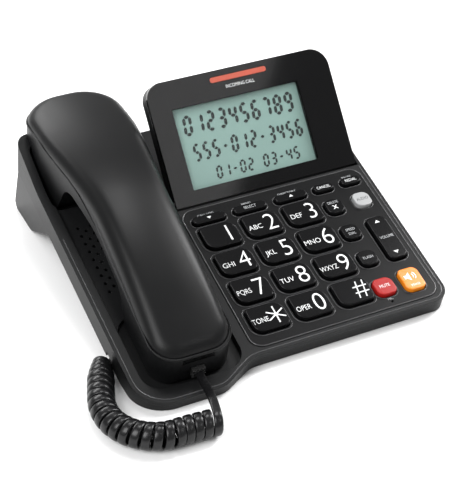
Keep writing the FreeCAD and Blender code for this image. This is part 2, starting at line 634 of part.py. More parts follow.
def handset_side(inset=0.0):
    """Side outline of the handset: arched back, hollow grip, two feet that drop into the cups."""
    front, rear = SIZE["handset_front"] + inset, SIZE["handset_rear"] - inset
    slack = inset
    return [(front, -4.2 + slack, 3), (-6 - inset, -4.2 + slack, 5), (4 - inset, 15.5 + slack, 12),
            (40, 21.5 + slack, 110), (79 + inset, 21.5 + slack, 14), (90 + inset, -8.4 + slack, 5),
            (119 - inset, -8.4 + slack, 5),
            (128 - inset, 9.2 + slack, 6), (rear, 9.2 + slack, 2),
            (rear, 20.5 - slack, 0), (52.0, 59.5 - slack, 250), (front, 19.5 - slack, 0)]


def make_handset():
    """Two shells that meet along an arched seam, with the parts they hold."""
    middle = SIZE["cradle_middle"]
    wall = SIZE["handset_wall"]
    outer = shared("handset_outer", prism("handset_block", handset_plan(), -12.0, 45.0),
                   side_prism("handset_slab", handset_side(), middle - 40, middle + 40))
    inner = shared("handset_inner", prism("handset_room", handset_plan(wall), -12.0, 45.0),
                   side_prism("handset_gap", handset_side(wall), middle - 40, middle + 40))
    doc.recompute()
    crown = doc.addObject("Part::Fillet", "handset_crown")
    crown.Base = outer
    radius = SIZE["handset_round"]
    rim = [n for n, edge in enumerate(outer.Shape.Edges, 1) if is_crown_edge(outer.Shape, edge)]
    crown.Edges = [(n, radius, radius) for n in rim]
    shell = without("handset_shell", crown, [inner])
    seam_arch = [(190, 1.0, 0), (118, 24.5, 60), (70, 31, 60), (20, 22.5, 80), (-20, 18, 60), (-90, 14, 0)]
    seam = [(-90, -30, 0), (190, -30, 0), *seam_arch]
    lower_part = side_prism("below_seam", seam, middle - 45, middle + 45)
    upper_part = side_prism("above_seam", [*reversed(seam_arch), (190, 60, 0), (-90, 60, 0)],
                            middle - 45, middle + 45)
    finish(shared("back_half", shell, upper_part), "handset_back_shell")
    ear_holes = [rod(f"ear_hole_{n}", 1.0, (middle + 6 * math.cos(n * math.pi / 3),
                                            106 + 6 * math.sin(n * math.pi / 3), -9), (0, 0, 1), 4)
                 for n in range(6)]
    voice_hole = rod("voice_hole", 1.0, (middle, -30, -5), (0, 0, 1), 4)
    jack_hole = plug_room("jack_hole", 0.4, -38.0)
    bores = [rod(f"handset_bore_{n}", 1.3, (middle, v, w - 1), (0, 0, 1), 4)
             for n, (v, w) in enumerate(HANDSET_SCREWS)]
    lower = shared("front_half", shell, lower_part)
    finish(without("front_half_open", lower, [*ear_holes, voice_hole, jack_hole, *bores]),
           "handset_front_shell")
    finish(rod("receiver", 11.0, (middle, 105, -5.6), (0, 0, 1), 7.0), "handset_receiver")
    finish(rod("capsule", 5.0, (middle, -27, -1.8), (0, 0, 1), 5.0), "handset_microphone")
    jack_block = prism("handset_jack_block",
                       box_corners(SIZE["plug_x"] - 6, -49.0, SIZE["plug_x"] + 6, -36.5, 0.5), -0.8, 8.2)
    jack_mouth = plug_room("handset_jack_mouth", 0.3, -38.5)
    finish(without("handset_jack_open", jack_block, [jack_mouth]), "handset_jack")
    screws = []
    for n, (v, w) in enumerate(HANDSET_SCREWS):
        head = rod(f"handset_head_{n}", 2.4, (middle, v, w + 2.3), (0, 0, 1), 1.4)
        shaft = rod(f"handset_shaft_{n}", 1.2, (middle, v, w + 0.1), (0, 0, 1), 2.2)
        screws.append(joined(f"handset_screw_{n}", [head, shaft]))
    finish(group("handset_screw_pair", screws), "handset_screws")


def plug_room(name, clearance, rear):
    """Room for the plug in the front of the handset."""
    half_wide, half_high = PLUG_HALF_WIDE + clearance, PLUG_HALF_HIGH + clearance
    x, w = SIZE["plug_x"], SIZE["plug_w"]
    return side_prism(name, box_corners(-60, w - half_high, rear, w + half_high), x - half_wide, x + half_wide)


def is_crown_edge(shape, edge):
    """True for an edge of the arched top where it meets the side walls."""
    box = edge.BoundBox
    upright = box.XLength < 1e-4 and box.YLength < 1e-4
    seam_across = box.ZLength < 1e-4 and box.XLength > 30
    in_grip = box.YMin > -7.0 and box.YMax < 91.0
    return box.ZMin > 17.0 and not upright and not seam_across and not in_grip


# ---------------------------------------------------------------- cord
# Routes in the row frame. The lead drops from the handset to the table, the coil sweeps round the
# corner of the housing, and the tail turns in under the side wall to its jack.
LEAD_END = (-66.0, -137.0, 2.6)
COIL_ROUTE = ((-68.8, -134.9, 7.6), (-81.5, -133.5, 7.6), (-96.5, -133.8, 7.6), (-109.3, -126.0, 7.6),
              (-116.4, -113.2, 7.6), (-116.9, -99.2, 7.6), (-112.4, -86.6, 7.6), (-106.0, -70.3, 7.6))
TAIL_ROUTE = ((-102.9, -62.7, 4.8), (-93.0, -60.1, 5.2))


def bend(before, corner, after):
    """Tangent arc at a corner of a route, as large as its two runs allow, and its radius."""
    back, ahead = before - corner, after - corner
    run = min(back.Length, ahead.Length)
    back.normalize()
    ahead.normalize()
    half_turn = (math.pi - back.getAngle(ahead)) / 2
    reach = 0.45 * run
    radius = reach / math.tan(half_turn)
    inward = (back + ahead).normalize()
    middle = corner + inward * (radius / math.cos(half_turn) - radius)
    return Part.Arc(corner + back * reach, middle, corner + ahead * reach), radius


def route_wire(name, route):
    """Straight runs joined by tangent arcs; prints the radii for a check of the lay."""
    points = [Vector(*point) for point in route]
    edges, radii, start = [], [], points[0]
    for before, corner, after in zip(points, points[1:], points[2:]):
        arc, radius = bend(before, corner, after)
        edges += [Part.LineSegment(start, arc.StartPoint).toShape(), arc.toShape()]
        radii.append(round(radius, 1))
        start = arc.EndPoint
    edges.append(Part.LineSegment(start, points[-1]).toShape())
    print(name, "bend radii", radii)
    return Part.Wire(edges)


def tube(name, route, radius):
    """A round solid along a route, with its volume compared with section times length."""
    wire = route_wire(name, route)
    first, second = Vector(*route[0]), Vector(*route[1])
    section = Part.Wire(Part.Circle(first, second - first, radius).toShape())
    solid = wire.makePipeShell([section], True, False)
    expected = math.pi * radius ** 2 * wire.Length
    print(name, "length", round(wire.Length, 1), "volume over section times length",
          round(solid.Volume / expected, 4))
    return solid


def feature(name, shape, node, frame=ROW):
    """A shape made directly, placed once its shape is set."""
    piece = doc.addObject("Part::Feature", name)
    piece.Shape = shape
    return finish(piece, node, frame)


def make_cord():
    """Clear plugs at both ends, a straight lead, the coil as one fat tube, and a tail to the jack."""
    thin = SIZE["cord_radius"]
    x, w = SIZE["plug_x"], SIZE["plug_w"]
    wide, high = PLUG_HALF_WIDE, PLUG_HALF_HIGH
    plug_front, plug_long = -54.5, 12.5
    finish(prism("plug_body", box_corners(x - wide, plug_front, x + wide, plug_front + plug_long, 0.4),
                 w - high, w + high), "handset_plug")
    jack_x, jack_w, exit_v, base_plug_long = SIZE["jack_x"], -10.6, 2.5, 14.0
    finish(prism("jack_plug", box_corners(jack_x - wide, exit_v, jack_x + wide, exit_v + base_plug_long, 0.4),
                 jack_w - high, jack_w + high), "base_plug")
    leave = deck_to_row(x, plug_front, w)
    knee = (leave.x - 0.6, leave.y - 13.0, leave.z - 2.9)
    feature("lead", tube("cord_lead", [tuple(leave), knee, LEAD_END], thin), "cord_lead")
    turn_in, arrive = deck_to_row(jack_x, exit_v - 11.0, jack_w), deck_to_row(jack_x, exit_v, jack_w)
    feature("tail", tube("cord_tail", [*TAIL_ROUTE, tuple(turn_in), tuple(arrive)], thin), "cord_tail")
    radius, end_radius = SIZE["coil_radius"], SIZE["coil_end_radius"]
    taper_start, taper_end = Vector(*COIL_ROUTE[-1]), Vector(*TAIL_ROUTE[0])
    along = taper_end - taper_start
    body = tube("cord_coil", COIL_ROUTE, radius)
    cone = Part.makeCone(radius, end_radius, along.Length, taper_start, along)
    feature("coil", body.fuse(cone).removeSplitter(), "cord_coil")


make_lower_shell()
make_upper_shell()
make_keypad_panel()
make_keys()
make_housing_insides()
make_battery_parts()
make_screws()
make_desk_stand()
make_display()
make_hinge_pins()
make_handset()
make_cord()
doc.recompute()

faults = []
for item in doc.Objects:
    if "Invalid" in item.State or "Error" in item.State:
        faults.append(f"{item.Name}: {item.State}")
for node, piece in NODES:
    if piece.Shape.isNull() or not piece.Shape.isValid():
        faults.append(f"{node}: bad shape")
    elif not piece.Shape.Solids:
        faults.append(f"{node}: no solid")
if faults:
    raise SystemExit("\n".join(faults))

os.makedirs("parts", exist_ok=True)
for node, piece in NODES:
    piece.Shape.exportStep(f"parts/{node}.step")
print(len(NODES), "sub-parts written")
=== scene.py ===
import bmesh
import bpy
import json
import math
from mathutils import Matrix, Vector


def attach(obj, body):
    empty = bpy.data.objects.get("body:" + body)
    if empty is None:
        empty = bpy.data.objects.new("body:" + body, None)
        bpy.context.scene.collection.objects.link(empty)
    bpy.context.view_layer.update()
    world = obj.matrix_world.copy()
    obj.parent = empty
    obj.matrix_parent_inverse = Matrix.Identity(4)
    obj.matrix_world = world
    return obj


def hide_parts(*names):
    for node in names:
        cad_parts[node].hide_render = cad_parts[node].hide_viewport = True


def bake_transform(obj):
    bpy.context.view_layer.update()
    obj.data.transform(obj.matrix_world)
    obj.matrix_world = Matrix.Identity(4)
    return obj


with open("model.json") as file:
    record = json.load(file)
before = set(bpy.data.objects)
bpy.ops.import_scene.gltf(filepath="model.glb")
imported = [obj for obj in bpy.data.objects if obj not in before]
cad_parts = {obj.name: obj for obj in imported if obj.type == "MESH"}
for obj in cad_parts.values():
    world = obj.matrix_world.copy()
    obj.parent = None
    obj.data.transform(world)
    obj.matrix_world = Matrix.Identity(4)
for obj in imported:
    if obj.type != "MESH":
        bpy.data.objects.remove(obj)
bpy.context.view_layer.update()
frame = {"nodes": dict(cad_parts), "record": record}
NODES = frame["nodes"]
MM = 0.001

# Frames of the CAD model, in metres: the deck is tilted back and the display's face stands on it.
DECK = Matrix.Translation((0, -48.2 * MM, 23.8 * MM)) @ Matrix.Rotation(math.radians(15.1), 4, "X")
FACE = DECK @ Matrix.Translation((-25.15 * MM, 60.0 * MM, 0)) @ Matrix.Rotation(math.radians(36.9), 4, "X")


def on_deck(x, v, w):
    """A point of the deck, given in millimetres, in the row frame."""
    return DECK @ Vector((x * MM, v * MM, w * MM))


def on_face(x, y, z):
    """A point of the display's face, given in millimetres, in the row frame."""
    return FACE @ Vector((x * MM, y * MM, z * MM))


# ---------------------------------------------------------------- mesh helpers
def new_object(name, mesh):
    piece = bpy.data.objects.new(name, mesh)
    bpy.context.scene.collection.objects.link(piece)
    return piece


def mesh_from(name, points, faces, smooth=True):
    mesh = bpy.data.meshes.new(name)
    mesh.from_pydata([tuple(p) for p in points], [], faces)
    for polygon in mesh.polygons:
        polygon.use_smooth = smooth
    mesh.validate()
    mesh.update()
    return mesh


def spline_points(name, controls, resolution):
    """Points along a smooth curve whose control points are the given route."""
    curve = bpy.data.curves.new(name, "CURVE")
    curve.dimensions = "3D"
    spline = curve.splines.new("NURBS")
    spline.points.add(len(controls) - 1)
    for point, place in zip(spline.points, controls):
        point.co = (*place, 1.0)
    spline.order_u = 3
    spline.use_endpoint_u = True
    spline.resolution_u = resolution
    holder = new_object(name, curve)
    bpy.context.view_layer.update()
    line = bpy.data.meshes.new_from_object(holder.evaluated_get(bpy.context.evaluated_depsgraph_get()))
    points = [vertex.co.copy() for vertex in line.vertices]
    bpy.data.objects.remove(holder)
    bpy.data.curves.remove(curve)
    bpy.data.meshes.remove(line)
    return points


def resampled(points, step):
    """The same polyline with points at equal distances along it."""
    lengths = [0.0]
    for a, b in zip(points, points[1:]):
        lengths.append(lengths[-1] + (b - a).length)
    count = max(2, round(lengths[-1] / step))
    result, k = [], 0
    for i in range(count + 1):
        target = lengths[-1] * i / count
        while k < len(points) - 2 and lengths[k + 1] < target:
            k += 1
        span = lengths[k + 1] - lengths[k]
        share = (target - lengths[k]) / span if span > 0 else 0
        result.append(points[k].lerp(points[k + 1], share))
    return result


def sweep(name, path, normals, section):
    """A closed tube whose section (side, up) keeps to the given normals along a path."""
    count, ring = len(path), len(section)
    points = []
    for i, place in enumerate(path):
        ahead = (path[min(i + 1, count - 1)] - path[max(i - 1, 0)]).normalized()
        up = (normals[i] - ahead * normals[i].dot(ahead)).normalized()
        side = ahead.cross(up)
        points += [place + side * a + up * b for a, b in section]
    faces = []
    for i in range(count - 1):
        for j in range(ring):
            k = (j + 1) % ring
            faces.append((i * ring + j, i * ring + k, (i + 1) * ring + k, (i + 1) * ring + j))
    faces.append(tuple(reversed(range(ring))))
    faces.append(tuple(range((count - 1) * ring, count * ring)))
    return mesh_from(name, points, faces)


def add_rows(points, faces, rows):
    """Add rows of points to a mesh, with faces between neighbouring rows."""
    base, width = len(points), len(rows[0])
    points += [place for row in rows for place in row]
    for i in range(len(rows) - 1):
        for j in range(width - 1):
            k = base + i * width + j
            faces.append((k, k + width, k + width + 1, k + 1))


def signed_power(value, power):
    """A power of a number that keeps the number's sign."""
    return math.copysign(abs(value) ** power, value)


def flat_section(wide, thick, steps):
    """Outline of a flat cord with round edges."""
    power = 2 / 3.2
    angles = [2 * math.pi * i / steps for i in range(steps)]
    return [(signed_power(math.cos(a), power) * wide / 2, signed_power(math.sin(a), power) * thick / 2)
            for a in angles]


# ---------------------------------------------------------------- materials
def add_grain(tree, place, normal, grain, grain_size):
    """A fine bump on top of the given normal."""
    fine = tree.nodes.new("ShaderNodeTexNoise")
    fine.inputs["Scale"].default_value = grain_size
    fine.inputs["Detail"].default_value = 2.0
    tree.links.new(place.outputs["Object"], fine.inputs["Vector"])
    bump = tree.nodes.new("ShaderNodeBump")
    bump.inputs["Strength"].default_value = grain
    bump.inputs["Distance"].default_value = 0.1 * MM
    tree.links.new(fine.outputs["Fac"], bump.inputs["Height"])
    tree.links.new(normal, bump.inputs["Normal"])
    return bump.outputs["Normal"]


def plastic(name, colour, roughness, grain=0.0, grain_size=900.0, edge=0.35, mottle=0.25, shine=0.5):
    """Moulded plastic: a fine grain, a little unevenness in gloss, and softened edges."""
    material = bpy.data.materials.new(name)
    material.use_nodes = True
    tree = material.node_tree
    shader = tree.nodes["Principled BSDF"]
    shader.inputs["Specular IOR Level"].default_value = shine
    place = tree.nodes.new("ShaderNodeTexCoord")
    broad = tree.nodes.new("ShaderNodeTexNoise")
    broad.inputs["Scale"].default_value = 35.0
    broad.inputs["Detail"].default_value = 3.0
    tree.links.new(place.outputs["Object"], broad.inputs["Vector"])
    shade = tree.nodes.new("ShaderNodeValToRGB")
    shade.color_ramp.elements[0].color = (*[c * (1 - mottle) for c in colour], 1)
    shade.color_ramp.elements[1].color = (*[c * (1 + mottle) for c in colour], 1)
    tree.links.new(broad.outputs["Fac"], shade.inputs["Fac"])
    tree.links.new(shade.outputs["Color"], shader.inputs["Base Color"])
    gloss = tree.nodes.new("ShaderNodeMapRange")
    gloss.inputs["To Min"].default_value = roughness * 0.9
    gloss.inputs["To Max"].default_value = roughness * 1.1
    tree.links.new(broad.outputs["Fac"], gloss.inputs["Value"])
    tree.links.new(gloss.outputs["Result"], shader.inputs["Roughness"])
    soft = tree.nodes.new("ShaderNodeBevel")
    soft.samples = 4
    soft.inputs["Radius"].default_value = edge * MM
    normal = soft.outputs["Normal"]
    if grain > 0:
        normal = add_grain(tree, place, normal, grain, grain_size)
    tree.links.new(normal, shader.inputs["Normal"])
    return material


def metal(name, colour, roughness):
    material = plastic(name, colour, roughness, 0.3, 1500.0, edge=0.15)
    material.node_tree.nodes["Principled BSDF"].inputs["Metallic"].default_value = 1.0
    return material


def glowing(material, colour, strength):
    shader = material.node_tree.nodes["Principled BSDF"]
    shader.inputs["Emission Color"].default_value = (*colour, 1)
    shader.inputs["Emission Strength"].default_value = strength
    return material


def clear(name, colour, alpha, roughness):
    material = plastic(name, colour, roughness, mottle=0.05)
    material.node_tree.nodes["Principled BSDF"].inputs["Alpha"].default_value = alpha
    return material


MATERIALS = {
    "housing_black": plastic("satin_black", (0.007, 0.0072, 0.0076), 0.42, 0.35, 1400.0, shine=0.16),
    "stand_black": plastic("stand_satin", (0.012, 0.0123, 0.0128), 0.45, 0.4, 1400.0, shine=0.25),
    "panel_black": plastic("panel_gloss", (0.005, 0.005, 0.0054), 0.30, 0.05, 900.0, shine=0.12),
    "membrane_grey": plastic("silicone", (0.35, 0.36, 0.36), 0.6, 0.2),
    "board_green": plastic("solder_mask", (0.02, 0.13, 0.05), 0.35, 0.3, 400.0),
    "speaker_metal": metal("speaker_frame", (0.5, 0.5, 0.52), 0.4),
    "jack_black": plastic("jack_plastic", (0.02, 0.02, 0.02), 0.35, 0.1),
    "switch_black": plastic("switch_plastic", (0.02, 0.02, 0.02), 0.35, 0.1),
    "door_black": plastic("door_satin", (0.018, 0.0185, 0.019), 0.45, 0.4, 1400.0),
    "cell_wrap": plastic("cell_label", (0.35, 0.36, 0.38), 0.3, 0.1),
    "contact_metal": metal("contact_plate", (0.75, 0.66, 0.4), 0.3),
    "foot_rubber": plastic("foot_rubber", (0.03, 0.03, 0.03), 0.8, 0.6, 700.0),
    "screw_steel": metal("zinc_steel", (0.6, 0.6, 0.62), 0.3),
    "pin_steel": metal("ground_steel", (0.6, 0.6, 0.62), 0.25),
    "bezel_black": plastic("piano_black", (0.003, 0.003, 0.0033), 0.07, 0.0, mottle=0.1, shine=0.22),
    "rear_black": plastic("rear_satin", (0.008, 0.0082, 0.0086), 0.42, 0.35, 1400.0, shine=0.2),
    "window_clear": clear("window_acrylic", (0.02, 0.02, 0.02), 0.05, 0.06),
    "lcd_grey": plastic("lcd_teal", (0.24, 0.37, 0.335), 0.35, 0.1, 2500.0, mottle=0.04),
    "light_red": glowing(plastic("light_bar_red", (0.42, 0.075, 0.045), 0.3), (0.8, 0.2, 0.12), 0.08),
    "key_black": plastic("key_gloss", (0.004, 0.004, 0.0044), 0.18, 0.0, mottle=0.15, shine=0.14),
    "key_white": plastic("key_white", (0.38, 0.385, 0.39), 0.3, shine=0.3),
    "key_red": glowing(plastic("key_red", (0.32, 0.009, 0.008), 0.25, shine=0.3), (0.6, 0.02, 0.015), 0.05),
    "key_orange": glowing(plastic("key_orange", (0.70, 0.20, 0.01), 0.22), (0.8, 0.25, 0.02), 0.12),
    "handset_black": plastic("handset_satin", (0.004, 0.0041, 0.0044), 0.36, 0.25, 1400.0, shine=0.2),
    "handset_inner": plastic("handset_side", (0.005, 0.0052, 0.0056), 0.40, 0.3, 1400.0, shine=0.16),
    "receiver_black": plastic("capsule_plastic", (0.05, 0.05, 0.05), 0.5, 0.1),
    "cord_black": plastic("cord_pvc", (0.005, 0.005, 0.0055), 0.27, 0.15, 500.0, edge=0.0, shine=0.35),
    "plug_clear": clear("plug_moulded", (0.03, 0.03, 0.03), 0.8, 0.12),
}
PRINT_WHITE = plastic("print_white", (0.80, 0.81, 0.81), 0.5, 0.1)
PRINT_GREY = plastic("print_grey", (0.40, 0.41, 0.42), 0.5, 0.1)
PRINT_DARK = plastic("lcd_segments", (0.014, 0.02, 0.02), 0.4, 0.0)
# Ridge plastic: the raised, glossy ridges catch the lamps, and their grey, lighter than the housing's black,
# is a painted highlight that makes them read as thin light lines.
RIDGE_GLOSS_AND_SHEEN = plastic("ridge_gloss_and_painted_sheen", (0.045, 0.045, 0.047), 0.25, 0.0, shine=0.6)

slot_of = {part["node"]: part["material_slot"] for part in frame["record"]["subparts"]}
for node, piece in NODES.items():
    piece.data.materials.clear()
    piece.data.materials.append(MATERIALS[slot_of[node]])


def dress(piece, material, body):
    piece.data.materials.append(material)
    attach(piece, body)


# ---------------------------------------------------------------- cord
CORD_WIDE, CORD_THICK = 4.8 * MM, 2.4 * MM
COIL_RADIUS = 6.3 * MM  # to the middle of the strip
COIL_PITCH = 5.3 * MM
COIL_ROUTE = [Vector(p) * MM for p in (
    (-67.0, -135.1, 7.6), (-81.5, -133.5, 7.6), (-96.5, -133.8, 7.6), (-109.3, -126.0, 7.6),
    (-116.4, -113.2, 7.6), (-116.9, -99.2, 7.6), (-112.4, -86.6, 7.6), (-106.0, -70.3, 7.2),
    (-102.9, -62.7, 5.0))]
COIL_END_RADIUS = 3.6 * MM
COIL_TAPER = 16.0 * MM  # length at the housing's end over which the turns grow smaller
PLUG_EXIT = on_deck(-62.0, -54.5, 3.7)
TAIL_ROUTE = [Vector((-93.0, -60.1, 5.2)) * MM, on_deck(-84.0, -8.5, -10.6), on_deck(-84.0, 2.5, -10.6)]
LEAD_FACING = Vector((-0.3, -0.8, 0.45))
LEAD_START = Vector((-0.4, -9.0, -1.6))  # from the plug to the lead's second control point
LEAD_EASE = 9.0  # length over which the lead turns into the coil
TAIL_EASE = 3.0  # length over which the coil turns into the tail
ROUTE_STEPS = 24  # points for each span of a route
CORD_STEP = 1.0 * MM
SPLIT_TURN = 6  # turns that go with the handset's end of the cord
UP = Vector((0, 0, 1))
STEPS_PER_TURN = 36


def coil_line():
    """Points of the strip's middle line round the coil, with their outward directions."""
    step = 0.3 * MM
    axis = resampled(spline_points("coil_axis", COIL_ROUTE, ROUTE_STEPS), step)
    turns = round(step * (len(axis) - 1) / COIL_PITCH) + 0.5
    steps = int(turns * STEPS_PER_TURN)
    line = []
    for i in range(steps + 1):
        at = i / steps * (len(axis) - 1)
        k = min(int(at), len(axis) - 2)
        centre = axis[k].lerp(axis[k + 1], at - k)
        ahead = (axis[k + 1] - axis[k]).normalized()
        across = ahead.cross(UP).normalized()
        angle = 2 * math.pi * i / STEPS_PER_TURN
        outward = UP * math.cos(angle) - across * math.sin(angle)
        left = min(1.0, (len(axis) - 1 - at) * step / COIL_TAPER)
        radius = COIL_END_RADIUS + (COIL_RADIUS - COIL_END_RADIUS) * left
        line.append((centre + outward * radius, outward))
    return line


def cord_piece(name, path, normals):
    piece = new_object(name, sweep(name, path, normals, flat_section(CORD_WIDE, CORD_THICK, 16)))
    piece.data.materials.append(MATERIALS["cord_black"])
    return piece


def make_cord():
    """The handset's cord: a straight lead, the coil, and a tail to the jack under the housing."""
    coil = coil_line()
    start, onward = coil[0][0], (coil[1][0] - coil[0][0]).normalized()
    lead = [PLUG_EXIT, PLUG_EXIT + LEAD_START * MM, start - onward * LEAD_EASE * MM, start]
    lead_line = resampled(spline_points("lead_route", lead, ROUTE_STEPS), CORD_STEP)
    finish, leaving = coil[-1][0], (coil[-1][0] - coil[-2][0]).normalized()
    tail = [finish, finish + leaving * TAIL_EASE * MM, *TAIL_ROUTE]
    tail_line = resampled(spline_points("tail_route", tail, ROUTE_STEPS), CORD_STEP)
    split = SPLIT_TURN * STEPS_PER_TURN
    first = lead_line[:-1] + [p for p, _ in coil[:split + 1]]
    turning = [LEAD_FACING.lerp(UP, i / len(lead_line)).normalized() for i in range(len(lead_line) - 1)]
    first_normals = turning + [n for _, n in coil[:split + 1]]
    second = [p for p, _ in coil[split:-1]] + tail_line
    second_normals = [n for _, n in coil[split:-1]] + [-UP] * len(tail_line)
    near = cord_piece("handset_cord_near", first, first_normals)
    far = cord_piece("handset_cord_far", second, second_normals)
    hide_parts("cord_lead")
    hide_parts("cord_coil", "cord_tail")
    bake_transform(near)
    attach(far, "housing")


make_cord()


# ---------------------------------------------------------------- handset
MIDDLE = -62.0
HANDSET_FRONT, HANDSET_REAR = -52.0, 156.0
FRONT_HALF, WAIST_HALF = 23.6, 22.4  # half widths at the front and at the waist
WAIST_PLACE, WIDE_PLACE = 42.0, 116.0  # where the waist is, and where the rear has its full width
REAR_GAIN = 7.0  # how much the half width grows behind the waist
TOP_PLACE, TOP_HEIGHT = 53.0, 41.6  # the highest point of the back
TOP_REACH, TOP_FALL, TOP_POWER = 105.0, 22.0, 1.75  # how the back falls away from there
SIDE_FALL = 2.6  # how much lower the back is at its sides
SHOULDER = 7.5  # radius between the side walls and the back
SHOULDER_ANGLES = (0, 12, 25, 38, 50, 62, 74, 90)
BACK_COLUMNS = 14  # faces across the back


def corner_arc(centre_x, centre_v, radius, first, last, steps):
    """Points and outward directions round a corner, from one angle to another in degrees."""
    for i in range(steps + 1):
        angle = math.radians(first + (last - first) * i / steps)
        c, s = math.cos(angle), math.sin(angle)
        yield centre_x + radius * c, centre_v + radius * s, c, s


def waist(v):
    """Half width of the handset at a place along it."""
    if v < WAIST_PLACE:
        t = (v - HANDSET_FRONT) / (WAIST_PLACE - HANDSET_FRONT)
        return FRONT_HALF - (FRONT_HALF - WAIST_HALF) * math.sin(t * math.pi / 2)
    t = min(1.0, (v - WAIST_PLACE) / (WIDE_PLACE - WAIST_PLACE))
    ease = t * t * (3 - 2 * t)
    return WAIST_HALF + REAR_GAIN * (0.35 * t + 0.65 * ease)


def top_height(v):
    """Height of the handset's back along its middle."""
    return TOP_HEIGHT - TOP_FALL * abs((v - TOP_PLACE) / TOP_REACH) ** TOP_POWER


SEAM = ((-52.0, 15.7), (-14.0, 18.2), (17.0, 21.6), (42.0, 25.6), (65.0, 29.0), (76.0, 29.2), (88.0, 27.9),
        (112.0, 24.4), (132.0, 19.4), (156.0, 11.6))


def seam_height(v):
    """Height of the seam between the handset's shells at a place along it."""
    for (v0, w0), (v1, w1) in zip(SEAM, SEAM[1:]):
        if v <= v1:
            return w0 + (w1 - w0) * (v - v0) / (v1 - v0)
    return SEAM[-1][1]


def handset_half():
    """Right half of the handset's plan outline, from its front middle to its rear middle."""
    front_radius, rear_radius, stride = 14.0, 24.0, 3.0
    front_centre, rear_centre = HANDSET_FRONT + front_radius, HANDSET_REAR - rear_radius
    half_front, half_rear = waist(front_centre), waist(HANDSET_REAR)
    line = list(corner_arc(half_front - front_radius, front_centre, front_radius, -90, 0, 14))
    v = front_centre + stride
    while v < rear_centre - 1:
        slope = waist(v + 0.5) - waist(v - 0.5)
        size = math.hypot(1, slope)
        line.append((waist(v), v, 1 / size, -slope / size))
        v += stride
    line += corner_arc(half_rear - rear_radius, rear_centre, rear_radius, 0, 90, 18)
    return line


def crown(x, v):
    """Height of the back, lower towards its sides."""
    share = min(1.0, abs(x) / waist(v))
    return top_height(v) - SIDE_FALL * share ** 2


def shell_side(x, v, nx, nv):
    """Points up one side of the back shell: the lip at the seam, the wall and the shoulder."""
    low = seam_height(v)
    wall = crown(x, v) - SHOULDER
    lip = ((2.0, low), (-0.15, low), (-0.5, low + 0.4), (-0.15, low + 0.9), (0.0, low + 1.3),
           (0.0, (low + wall) / 2))
    side = [(x - nx * inset, v - nv * inset, w) for inset, w in lip]
    for angle in SHOULDER_ANGLES:
        inset = SHOULDER * (1 - math.cos(math.radians(angle)))
        sink = SHOULDER * (1 - math.sin(math.radians(angle)))
        px, pv = x - nx * inset, v - nv * inset
        side.append((px, pv, crown(px, pv) - sink))
    return side


def shell_row(side):
    """Points over the back from one side to the other."""
    inner_x, inner_v = side[-1][0], side[-1][1]
    spread = [inner_x * (1 - 2 * c / BACK_COLUMNS) for c in range(1, BACK_COLUMNS)]
    across = [(x, inner_v, crown(x, inner_v)) for x in spread]
    left = [(-x, v, w) for x, v, w in reversed(side)]
    return [on_deck(MIDDLE + x, v, w) for x, v, w in side + across + left]


def end_cap(side):
    """Levels of points that close a flat end, raised towards the middle like the crown above them."""
    lifts = [math.sin(math.radians(angle)) for angle in SHOULDER_ANGLES]
    lifts = [0.0] * (len(side) - len(lifts)) + lifts
    levels = []
    for (half_wide, v, height), lift in zip(side, lifts):
        spread = [half_wide * (1 - 2 * c / BACK_COLUMNS) for c in range(BACK_COLUMNS + 1)]
        rim = crown(half_wide, v)
        levels.append([on_deck(MIDDLE + x, v, height + lift * (crown(x, v) - rim)) for x in spread])
    return levels


def weld(mesh):
    """Join points that share a place, and turn all faces outwards."""
    skin = bmesh.new()
    skin.from_mesh(mesh)
    bmesh.ops.remove_doubles(skin, verts=skin.verts, dist=0.02 * MM)
    bmesh.ops.recalc_face_normals(skin, faces=skin.faces)
    skin.to_mesh(mesh)
    skin.free()


def make_handset_back():
    """The handset's back shell: a crowned, arched surface with a soft shoulder and a lip at the seam."""
    sides = [shell_side(*place) for place in handset_half()]
    points, faces = [], []
    add_rows(points, faces, [shell_row(side) for side in sides])
    for side in (sides[0], sides[-1]):
        add_rows(points, faces, end_cap(side))
    mesh = mesh_from("handset_back", points, faces)
    weld(mesh)
    piece = new_object("handset_back", mesh)
    dress(piece, MATERIALS["handset_black"], "handset")
    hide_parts("handset_back_shell")


make_handset_back()


# ---------------------------------------------------------------- print on the keys and panel
CAPITAL_SHARE = 0.72  # height of a capital letter as a share of the font's size
DECK_TURN = DECK.to_3x3().to_4x4()
FACE_TURN = FACE.to_3x3().to_4x4()
KEY_TOP, PLATE_TOP = 3.0, 0.4  # levels of the keys' and the panel's print, before it is lifted
PRINT_LIFT = 0.03


def text_piece(name, words, place, rotation, height, material, body, thin=0.0, wide=1.0):
    """Flat printed characters centred on a point of a surface."""
    curve = bpy.data.curves.new(name, "FONT")
    curve.body = words
    curve.size = height / CAPITAL_SHARE
    curve.align_x = "CENTER"
    curve.align_y = "CENTER"
    curve.offset = -thin
    curve.resolution_u = 6
    holder = new_object(name + "_curve", curve)
    bpy.context.view_layer.update()
    mesh = bpy.data.meshes.new_from_object(holder.evaluated_get(bpy.context.evaluated_depsgraph_get()))
    bpy.data.objects.remove(holder)
    bpy.data.curves.remove(curve)
    middle_x = (max(v.co.x for v in mesh.vertices) + min(v.co.x for v in mesh.vertices)) / 2
    middle_y = (max(v.co.y for v in mesh.vertices) + min(v.co.y for v in mesh.vertices)) / 2
    for vertex in mesh.vertices:
        vertex.co = Vector(((vertex.co.x - middle_x) * wide, vertex.co.y - middle_y, 0))
    mesh.transform(Matrix.Translation(place) @ rotation)
    mesh.materials.clear()
    dress(new_object(name, mesh), material, body)


def deck_text(name, words, x, v, w, height, material, body, thin=0.0, wide=1.0):
    place = on_deck(x, v, w + PRINT_LIFT)
    text_piece(name, words, place, DECK_TURN, height * MM, material, body, thin * MM, wide)


def face_text(name, words, x, y, z, height, material, thin=0.0, wide=1.0):
    place = on_face(x, y, z)
    text_piece(name, words, place, FACE_TURN, height * MM, material, "display", thin * MM, wide)


